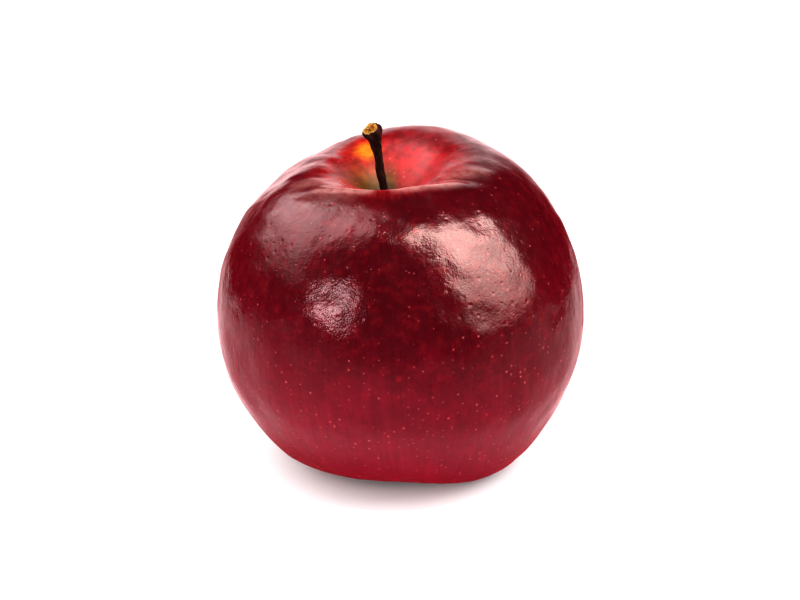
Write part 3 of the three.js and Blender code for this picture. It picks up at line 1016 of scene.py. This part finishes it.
def make_floor():
    """A flat round floor, as rings of a disc with a thin turned-down edge."""
    radius = np.array(FLOOR_RINGS + FLOOR_RINGS[-1:])[:, None]
    height = np.zeros(radius.shape)
    height[-1] = -FLOOR_EDGE
    angle = turn(FLOOR_SIDES)[None, :]
    rings = vectors(radius * np.cos(angle), radius * np.sin(angle), height)
    floor = new_piece("floor", [rings[::-1]])
    floor.data.materials.append(floor_material())


def card_glow_group():
    """The glow of a card, for any card's material: it rises from its foot, fades out towards its
    edges, is uneven, as on crumpled foil, and fades for rays that started behind the cards'
    centre, by as many millimetres as "Behind" says."""
    group, nodes, given, result = new_group(
        "card_glow",
        {"Reach": VECTOR, "Tint": COLOUR, "Brightness": VALUE, "Foot": VALUE, "Softness": VALUE,
         "Behind": VALUE},
        {"Glow": COLOUR})
    across, up, _ = nodes.parts(given["Reach"])
    glow = nodes.times(given["Brightness"], nodes.ramp(up, 0.0, 0.6, given["Foot"], 1.0))
    for share in (across, up):
        edge = nodes.math("MINIMUM", share, nodes.math("SUBTRACT", 1.0, share))
        glow = nodes.times(glow, nodes.ramp(edge, 0.0, given["Softness"]))
    crumples = nodes.ramp(nodes.noise(given["Reach"], 12, 3, 0.6), 0.3, 0.7, 0.6, 1.3)
    glow = nodes.times(glow, crumples, nodes.ramp(given["Behind"], *SHIELD_BAND, 1.0, 0.0))
    nodes.feed(result, {"Glow": nodes.scaled(given["Tint"], glow)})
    return group


def card_material(name, glow, tint, brightness, foot, softness, shielded):
    """One card's glow. How far behind the cards' centre a ray started is how much farther it has
    come than that centre is from the card, and only a shielded card minds."""
    material, nodes = empty_material(name)
    behind = WELL_IN_FRONT
    if shielded:
        travelled = nodes.add("ShaderNodeLightPath").outputs["Ray Length"]
        behind = nodes.math("SUBTRACT", travelled, nodes.attribute("range", "Fac"))
        behind = nodes.math("DIVIDE", behind, MM)
    card = nodes.add("ShaderNodeGroup", {
        "Reach": nodes.attribute("reach"),
        "Tint": tint,
        "Brightness": brightness,
        "Foot": foot,
        "Softness": softness,
        "Behind": behind,
    }, node_tree=glow)
    light = nodes.add("ShaderNodeEmission", {"Color": card.outputs["Glow"], "Strength": 1.0})
    nodes.add("ShaderNodeOutputMaterial", {0: light.outputs[0]})
    return material


def make_card(name, glow, corners, brightness, foot=1, softness=0.1, distance=CARD_DISTANCE,
              tint=(1, 1, 1, 1), shielded=False):
    """A card that only reflections see: a patch that runs straight between four directions. The
    attribute "reach" holds how far along its sides a point lies, and "range" how far from the
    cards' centre it is, in metres."""
    share = np.linspace(0, 1, CARD_STEPS + 1)
    across, up = np.meshgrid(share, share, indexing="ij")
    reach = vectors(across, up, 0)
    across, up = across[..., None], up[..., None]
    foot_start, foot_end, top_end, top_start = (direction(*corner) for corner in corners)
    low = foot_start * (1 - across) + foot_end * across
    high = top_start * (1 - across) + top_end * across
    points = (low * (1 - up) + high * up) * distance
    lengths = np.linalg.norm(points, axis=-1) * MM
    here = (np.arange(CARD_STEPS)[:, None] * (CARD_STEPS + 1) + np.arange(CARD_STEPS)).ravel()
    beside = here + CARD_STEPS + 1
    quads = np.stack((here, here + 1, beside + 1, beside), axis=-1)
    mesh = bpy.data.meshes.new(name)
    mesh.from_pydata((points + np.array(CARD_CENTRE)).reshape(-1, 3) * MM, [], quads.tolist())
    mesh.attributes.new("reach", "FLOAT_VECTOR", "POINT").data.foreach_set("vector", reach.ravel())
    mesh.attributes.new("range", "FLOAT", "POINT").data.foreach_set("value", lengths.ravel())
    mesh.materials.append(card_material(name, glow, tint, brightness, foot, softness, shielded))
    card = bpy.data.objects.new(name, mesh)
    bpy.context.collection.objects.link(card)
    card.visible_camera = False
    card.visible_diffuse = False
    card.visible_shadow = False
    card.visible_transmission = False


def make_lamp(name, azimuth, elevation, size, power):
    """A soft round lamp that lights surfaces but isn't mirrored in them."""
    data = bpy.data.lights.new(name, "AREA")
    data.shape = "DISK"
    data.size = size * MM
    data.energy = power
    lamp = bpy.data.objects.new(name, data)
    middle = np.array([0, 0, MIDDLE_HEIGHT])
    lamp.location = (middle + direction(azimuth, elevation) * LAMP_DISTANCE) * MM
    lamp.rotation_euler = (math.radians(90 - elevation), 0, math.radians(azimuth))
    lamp.visible_glossy = False
    lamp.visible_camera = False
    bpy.context.collection.objects.link(lamp)


def make_world():
    """An even white dome that lights everything and isn't mirrored."""
    world = bpy.data.worlds.new("studio")
    bpy.context.scene.world = world
    world.use_nodes = True
    world.node_tree.nodes.clear()
    nodes = Nodes(world.node_tree)
    back = nodes.add("ShaderNodeBackground", {"Color": (1, 1, 1, 1), "Strength": DOME_GLOW})
    nodes.add("ShaderNodeOutputWorld", {0: back.outputs[0]})
    world.cycles_visibility.glossy = False


def make_studio():
    """Camera, floor, dome, cards and lamps, and how the picture is developed."""
    make_camera()
    make_floor()
    make_world()
    glow = card_glow_group()
    for name, card in CARDS.items():
        make_card(name, glow, **card)
    for name, lamp in LAMPS.items():
        make_lamp(name, *lamp)
    view = bpy.context.scene.view_settings
    view.view_transform = "Standard"
    view.gamma = CONTRAST


make_studio()
make_skin(skin_material())
make_stem(bark_material())
dried_leaf = dried_leaf_group()
make_cup(dried_leaf_material("dried_cup", dried_leaf, CUP_BROWNS))
make_sepals(dried_leaf_material("dried_sepals", dried_leaf, SEPAL_BROWNS))
make_stamens(dried_leaf_material("dried_stamens", dried_leaf, STAMEN_BROWNS))
